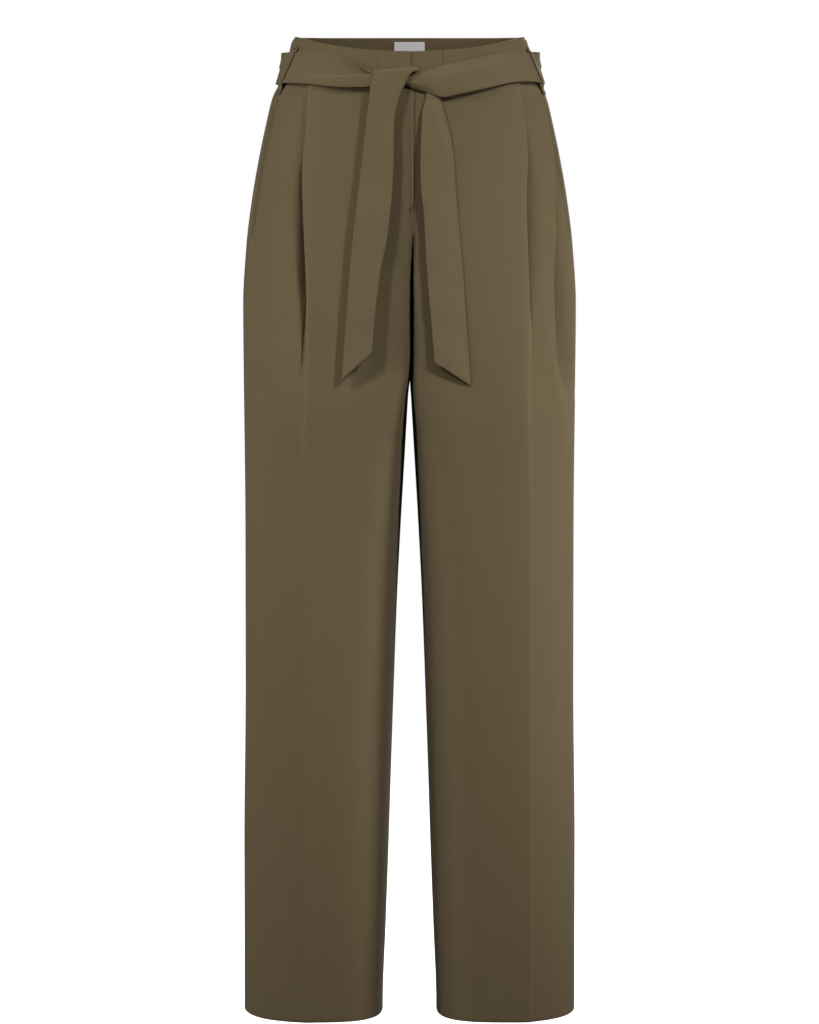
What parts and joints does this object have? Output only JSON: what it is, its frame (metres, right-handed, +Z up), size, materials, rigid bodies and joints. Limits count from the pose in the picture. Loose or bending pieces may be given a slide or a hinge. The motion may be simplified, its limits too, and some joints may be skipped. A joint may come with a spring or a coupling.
{
  "type": "wide-leg trousers with tie belt",
  "caption": "Wide-leg trousers filled out as worn, with deep front pleats, pressed creases, open waist and hems, and a fabric belt tied in a half knot with hanging ends.",
  "frame": {"origin": "middle of the waist opening at the height of the waistband's upper edge at the sides, less 6.5 mm", "axes": "+Z up along the legs towards the waist, the front faces -Y, +X is the wearer's left"},
  "size_m": [0.365, 0.2562, 1.0722],
  "materials": {
    "olive_twill": "fine matt twill suiting",
    "belt_twill": "fine matt twill suiting, doubled",
    "label_satin": "smooth white woven label, bare"
  },
  "bodies": {
    "root": {"front_left": "olive_twill", "front_right": "olive_twill", "back_left": "olive_twill", "back_right": "olive_twill", "waistband_tab_right": "olive_twill", "waistband_front_right": "olive_twill", "waistband_back": "olive_twill", "waistband_front_left": "olive_twill", "waistband_tab_left": "olive_twill", "belt_loop_side_right": "olive_twill", "belt_loop_side_left": "olive_twill", "belt_loop_back_right": "olive_twill", "belt_loop_back_left": "olive_twill", "belt_band": "belt_twill", "belt_drape": "belt_twill", "belt_tail": "belt_twill", "size_label": "label_satin"}
  },
  "joints": []
}
